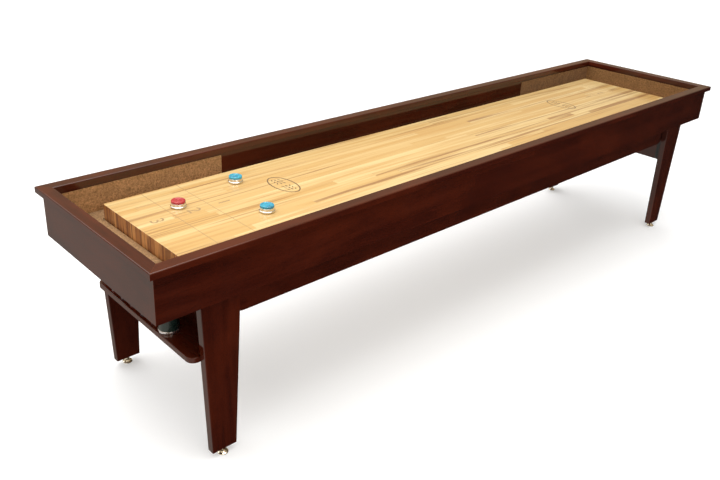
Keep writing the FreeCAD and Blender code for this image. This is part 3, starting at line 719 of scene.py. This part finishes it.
def playfield_marks():
    (x0, y0, _), (x1, y1, z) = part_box("playfield")
    faint = ink("ink_faint", (0.33, 0.205, 0.090))
    dark = ink("ink_dark", (0.085, 0.045, 0.020))
    for end_name, way in (("near", -1), ("far", 1)):
        edge = x0 if way < 0 else x1
        for number, inset in enumerate(LINES_FROM_END):
            left, right = edge - way * inset - LINE_HALF, edge - way * inset + LINE_HALF
            low, high = y0 + LINE_MARGIN, y1 - LINE_MARGIN
            outline = [(left, low), (right, low), (right, high), (left, high)]
            plate(f"score_line_{end_name}_{number}", outline, z, faint)
        for inset, text in ZONE_NUMBERS:
            x = edge - way * inset
            numeral(f"zone_{text}_{end_name}", text, x, MARKS_ACROSS, z, -way, faint)
        emblem(end_name, way, z, dark)


# ------------------------------------------------------------------ pucks
PUCK_BODY = [(0, 1.0, 0), (18.5, 1.0, 0), (20.0, 0, 0), (24.5, 0, 0.6), (27.0, 2.4, 1.6),
             (27.0, 6.4, 1.2), (24.9, 7.9, 1.2), (24.9, 17.0, 0.7), (24.3, 17.0, 0.2),
             (24.3, 16.5, 0.2), (15.0, 16.5, 0), (15.0, 11.0, 0), (0, 11.0, 0)]
PUCK_CAP = [(0, 11.0, 0), (15.0, 11.0, 0), (15.0, 16.5, 0), (23.8, 16.5, 0.4), (24.2, 17.1, 0.4),
            (24.2, 25.0, 2.4), (19.6, 25.0, 1.0), (17.6, 23.4, 1.4), (9.0, 23.4, 0.6),
            (8.4, 24.2, 0.4), (6.8, 24.2, 0.4), (6.2, 23.2, 0.6), (0, 23.2, 0)]


def pucks():
    chrome = polished("puck_chrome", (0.78, 0.79, 0.83), 0.04, 0.14)
    colours = {
        "red": plastic("cap_red", (0.46, 0.020, 0.035), (0.30, 0.010, 0.020)),
        "blue": plastic("cap_blue", (0.022, 0.36, 0.50), (0.010, 0.22, 0.35)),
    }
    for name in sorted(n for n in NODES if n.startswith("puck_body_")):
        which = name[len("puck_body_"):]
        centre = standing_place(name)
        body = "puck_" + which
        weight = lathe("weight_" + which, PUCK_BODY, centre, chrome, body)
        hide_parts(name)
        colour = which.split("_")[0]
        cap = lathe("cap_" + which, PUCK_CAP, centre, colours[colour], body)
        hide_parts("puck_cap_" + which)


# ------------------------------------------------------------------ wax can on the shelf
CAN = [(0, 2.0, 0), (31.4, 2.0, 0.4), (31.9, 0, 0.4), (33.6, 0, 0.6), (34.5, 1.0, 0.8),
       (34.5, 8.2, 0.8), (33.4, 9.4, 0.4), (33.4, 13.0, 0), (33.4, 138.0, 0), (33.4, 148.0, 0.2),
       (32.7, 148.0, 0.2), (32.7, 4.0, 1.5), (0, 4.0, 0)]
LID = [(0, 148.1, 0), (33.7, 148.1, 0), (33.7, 136.0, 0.2), (35.1, 136.0, 0.4), (35.1, 150.5, 1.8),
       (30.6, 150.5, 0.6), (29.8, 149.5, 0.6), (7.0, 149.5, 0.4), (6.6, 150.4, 0.4), (0, 150.4, 0)]
LABEL_FROM = 9.4             # height in mm where the printed label starts
GOLD_BANDS = ((62.0, 64.0), (124.0, 126.5))
BAND_EDGE = 0.3              # how sharply a band ends


def printed_tin():
    """Dark green label with two plain gold bands above a bare rolled rim."""
    g = Graph("printed_tin")
    _, _, z = g.split(g.coords())
    height = g.math("SUBTRACT", z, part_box("wax_can_body")[0][2])
    smear = g.noise(g.coords(), 80.0, 4.0, 0.6)
    label = g.band(height, LABEL_FROM * MM, (LABEL_FROM + 0.5) * MM)
    gold = None
    for low, high in GOLD_BANDS:
        stripe = g.math("MULTIPLY", g.band(height, low * MM, (low + BAND_EDGE) * MM),
                        g.band(height, (high + BAND_EDGE) * MM, high * MM))
        gold = stripe if gold is None else g.math("MAXIMUM", gold, stripe)
    paper = g.mix(g.band(smear, 0.3, 0.7), (0.007, 0.018, 0.015), (0.012, 0.028, 0.023))
    paper = g.mix(gold, paper, (0.52, 0.37, 0.15))
    colour = g.mix(label, (0.74, 0.73, 0.78), paper)
    scratch = g.noise(g.stretch(g.coords(), (400.0, 400.0, 2200.0)), detail=2.0)
    return g.finish(Base_Color=colour, Metallic=g.math("SUBTRACT", 1.0, label),
                    Roughness=g.band(smear, 0.3, 0.75, 0.16, 0.34), Coat_Weight=0.15,
                    Coat_Roughness=0.08, Normal=g.bump(scratch, 0.01 * MM, 0.4))


def wax_can():
    centre = standing_place("wax_can_body")
    can = lathe("can", CAN, centre, printed_tin(), "wax_can")
    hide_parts("wax_can_body")
    milky = plastic("lid_white", (0.62, 0.60, 0.55), (0.50, 0.48, 0.43))
    lid = lathe("can_lid", LID, centre, milky, "wax_lid")
    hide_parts("wax_can_lid")


# ------------------------------------------------------------------ levelling feet and adjusters
FOOT = [(0, 0, 0), (16.8, 0, 0), (18.0, 1.2, 0.5), (18.0, 4.0, 1.2), (13.0, 6.4, 3.0),
        (10.2, 11.0, 1.2), (6.4, 11.0, 0.3), (6.1, 10.6, 0), (6.1, 4.0, 0), (0, 4.0, 0)]
THREAD_PITCH = 1.5 * MM
STEM_SIDES = 36
STEM_THREAD_R = 4.95         # the stem's sizes are in mm, its heights above the floor
STEM_JOURNAL_R = 6.0
STEM_JOURNAL = (4.0, 11.5)
STEM_ACROSS_FLATS = 14.0
STEM_HEX = ((11.5, 0.85), (12.1, 0.25), (16.9, 0.25), (17.5, 0.85))     # height, corner cut
ROD_START = 12 * MM          # from the middle of a turnbuckle to a rod's inner end


def levelling_feet():
    nickel = polished("nickel_plate", (0.80, 0.74, 0.64), 0.10, 0.26)
    for corner in CORNERS:
        centre = standing_place("leveler_foot_" + corner)
        foot = lathe("foot_" + corner, FOOT, centre, nickel, "foot_" + corner, 64, 30)
        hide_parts("leveler_foot_" + corner)
        stem(corner, centre, nickel)


def stem_rows():
    """Rings of the stem below its thread: the journal, then the chamfered spanner flats."""
    corner_r = STEM_ACROSS_FLATS / math.sqrt(3)
    flat_r = corner_r * math.cos(math.pi / 6)

    def ring(z, chamfer=None):
        row = []
        for k in range(STEM_SIDES):
            angle = 2 * math.pi * k / STEM_SIDES
            r = STEM_JOURNAL_R
            if chamfer is not None:
                from_flat = math.radians((math.degrees(angle) + 30) % 60 - 30)
                r = min(flat_r / math.cos(from_flat), corner_r - chamfer)
            turned = angle + math.pi / 6
            row.append(Vector((r * math.cos(turned), r * math.sin(turned), z)) * MM)
        return row

    return [ring(z) for z in STEM_JOURNAL] + [ring(z, chamfer) for z, chamfer in STEM_HEX]


def stem(corner, centre, material):
    """Journal, spanner flats and a cut thread: one closed shell each."""
    node = "leveler_stem_" + corner
    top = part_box(node)[1][2]
    foot_of_thread = STEM_HEX[-1][0] * MM
    verts, faces = thread(STEM_THREAD_R * MM, THREAD_PITCH, top - foot_of_thread)
    verts = [v + Vector((0, 0, foot_of_thread)) for v in verts]
    base = len(verts)
    rows = stem_rows()
    verts += [v for row in rows for v in row]
    count = STEM_SIDES
    lower = [tuple(range(count))[::-1], tuple((len(rows) - 1) * count + k for k in range(count))]
    for row in range(len(rows) - 1):
        for k in range(count):
            n = (k + 1) % count
            a, b = row * count, (row + 1) * count
            lower.append((a + k, a + n, b + n, b + k))
    faces += [tuple(base + i for i in face) for face in lower]
    piece = add_mesh("stem_" + corner, [v + centre for v in verts], faces, material,
                     "stem_" + corner, sharp_deg=30)
    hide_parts(node)


def adjuster_rods():
    """The six threaded rods of the climate adjusters."""
    steel = zinc("zinc_rod")
    low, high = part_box("adjuster_rods")
    verts, faces = [], []
    z = (low[2] + high[2]) / 2
    half = (high[2] - low[2]) / 2
    for name in ("near", "middle", "far"):
        a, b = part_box("turnbuckle_" + name)
        x = (a[0] + b[0]) / 2
        for side in (-1, 1):
            rod_verts, rod_faces = thread(half, THREAD_PITCH, high[1] - ROD_START, 20)
            base = len(verts)
            for v in rod_verts:
                verts.append(Vector((x + v.x * side, side * (ROD_START + v.z), z + v.y)))
            faces += [tuple(base + i for i in f) for f in rod_faces]
    piece = add_mesh("threaded_rods", verts, faces, steel, "table", sharp_deg=50)
    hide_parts("adjuster_rods")


# ------------------------------------------------------------------ floor, light and camera
WHITE = (1.0, 1.0, 1.0)
FLOOR_HALF = 30.0
FLOOR_GLOW = 0.26            # added where the camera sees the floor
FLOOR_BOUNCE = (0.42, 0.41, 0.40)       # the floor's colour as the table sees it


def stage():
    """Pale floor, clear when looked at from below so that the underside can be seen."""
    g = Graph("studio_floor")
    seen = g.node("ShaderNodeLightPath").outputs["Is Camera Ray"]
    pale = g.mix(g.noise(g.coords(), 0.6, 3.0), (0.80, 0.80, 0.80), (0.83, 0.83, 0.825))
    solid = g.principled(Base_Color=g.mix(seen, FLOOR_BOUNCE, pale), Roughness=0.7,
                         Specular_IOR_Level=0.1, Emission_Color=g.colour(WHITE),
                         Emission_Strength=g.math("MULTIPLY", seen, FLOOR_GLOW))
    below = g.node("ShaderNodeNewGeometry").outputs["Backfacing"]
    clear = g.node("ShaderNodeBsdfTransparent").outputs[0]
    material = g.surface(g.node("ShaderNodeMixShader", {0: below, 1: solid, 2: clear}).outputs[0])
    square = ((-1, -1), (1, -1), (1, 1), (-1, 1))
    corners = [(x * FLOOR_HALF, y * FLOOR_HALF, 0) for x, y in square]
    mesh = bpy.data.meshes.new("studio_floor")
    mesh.from_pydata(corners, [], [(0, 1, 2, 3)])
    mesh.materials.append(material)
    floor = bpy.data.objects.new("studio_floor", mesh)
    floor.visible_glossy = False
    bpy.context.scene.collection.objects.link(floor)


CEILING_GLOW = (0.37, 0.38)             # at the horizon, and more straight up
CEILING_TINT = (0.98, 0.80, 0.53)       # in reflections only
WALL_GLOW = (0.03, 0.76)                # low on all sides, and more beyond the near end
WALL_TINT = (1.0, 0.93, 0.82)           # in reflections only


def world_light():
    """Pale studio.  Reflections see a warm ceiling, and a bright wall beyond the near end only."""
    world = bpy.data.worlds.new("studio")
    bpy.context.scene.world = world
    g = Graph(world)
    x, _, z = g.split(g.node("ShaderNodeTexCoord").outputs["Generated"])
    rays = g.node("ShaderNodeLightPath").outputs

    def glow(strength, tint):
        colour = g.mix(rays["Is Glossy Ray"], WHITE, tint)
        inputs = {0: colour, 3: g.math("ADD", strength[0], strength[1])}
        return g.node("ShaderNodeVectorMath", inputs, operation="SCALE").outputs[0]

    raised = g.math("MULTIPLY", g.math("MAXIMUM", z, 0.0), CEILING_GLOW[1])
    near_end = g.math("MULTIPLY", g.band(x, 0.05, -0.60), WALL_GLOW[1])
    upper = glow((CEILING_GLOW[0], raised), CEILING_TINT)
    lower = glow((WALL_GLOW[0], near_end), WALL_TINT)
    unseen = g.mix(g.band(z, -0.10, 0.05), lower, upper)
    colour = g.mix(rays["Is Camera Ray"], unseen, WHITE)
    g.surface(g.node("ShaderNodeBackground", {"Color": colour, "Strength": 1.0}).outputs[0])


def sun_light(name, towards, strength, spread_deg):
    data = bpy.data.lights.new(name, "SUN")
    data.energy = strength
    data.angle = math.radians(spread_deg)
    light = bpy.data.objects.new(name, data)
    light.rotation_euler = Vector(towards).to_track_quat("-Z", "Y").to_euler()
    bpy.context.scene.collection.objects.link(light)


def area_light(name, place, target, size, power, tint):
    data = bpy.data.lights.new(name, "AREA")
    data.shape = "RECTANGLE"
    data.size, data.size_y = size
    data.energy = power
    data.color = tint
    light = bpy.data.objects.new(name, data)
    light.location = place
    light.rotation_euler = (Vector(target) - Vector(place)).to_track_quat("-Z", "Y").to_euler()
    bpy.context.scene.collection.objects.link(light)


CAMERA_PLACE = (-2.489, -1.982, 1.753)
CAMERA_YAW = 46.98           # degrees from +X towards +Y
CAMERA_PITCH = 24.07         # degrees down
CAMERA_ROLL = 2.46
CAMERA_LENS = 38.4           # on a 36 mm wide sensor
CAMERA_SHIFT = (0.0275, -0.0438)


def camera():
    yaw, pitch, roll = (math.radians(a) for a in (CAMERA_YAW, CAMERA_PITCH, CAMERA_ROLL))
    flat = math.cos(pitch)
    forward = Vector((math.cos(yaw) * flat, math.sin(yaw) * flat, -math.sin(pitch)))
    level = forward.cross(Vector((0, 0, 1))).normalized()
    raised = level.cross(forward)
    right = math.cos(roll) * level + math.sin(roll) * raised
    up = -math.sin(roll) * level + math.cos(roll) * raised
    data = bpy.data.cameras.new("camera")
    data.sensor_width = 36.0
    data.lens = CAMERA_LENS
    data.shift_x, data.shift_y = CAMERA_SHIFT
    data.clip_end = 200.0
    view = bpy.data.objects.new("camera", data)
    axes = Matrix((right, up, -forward)).transposed().to_4x4()
    view.matrix_world = Matrix.Translation(CAMERA_PLACE) @ axes
    bpy.context.scene.collection.objects.link(view)
    bpy.context.scene.camera = view


# ------------------------------------------------------------------ build everything
paint_frame()
floor_carpet()
# The near lining gets the painted-light carpet colour, and the far lining the painted-shade one.
wall_carpet("wall_carpet_near", -1, carpet_material("carpet_near", CARPET_NEAR_PAINTED_LIGHT))
wall_carpet("wall_carpet_far", 1, carpet_material("carpet_far", CARPET_FAR_PAINTED_SHADE))
playfield_marks()
pucks()
wax_can()
levelling_feet()
adjuster_rods()
stage()
world_light()
sun_light("sky", towards=(0.15, -0.40, -1.0), strength=2.1, spread_deg=80.0)
area_light("key", place=(-0.9, -0.4, 3.6), target=(-0.3, 0, 0.6), size=(4.0, 2.4), power=72.0,
           tint=(1.0, 0.985, 0.96))
area_light("fill", place=(-4.2, -1.2, 2.2), target=(-0.8, 0, 0.6), size=(2.4, 1.8), power=10.0,
           tint=(1.0, 0.95, 0.86))
area_light("side", place=(-1.7, -2.9, 1.3), target=(-1.1, -0.4, 0.6), size=(1.6, 1.2), power=16.0,
           tint=(1.0, 0.90, 0.80))
camera()
bpy.context.scene.view_settings.view_transform = "Standard"
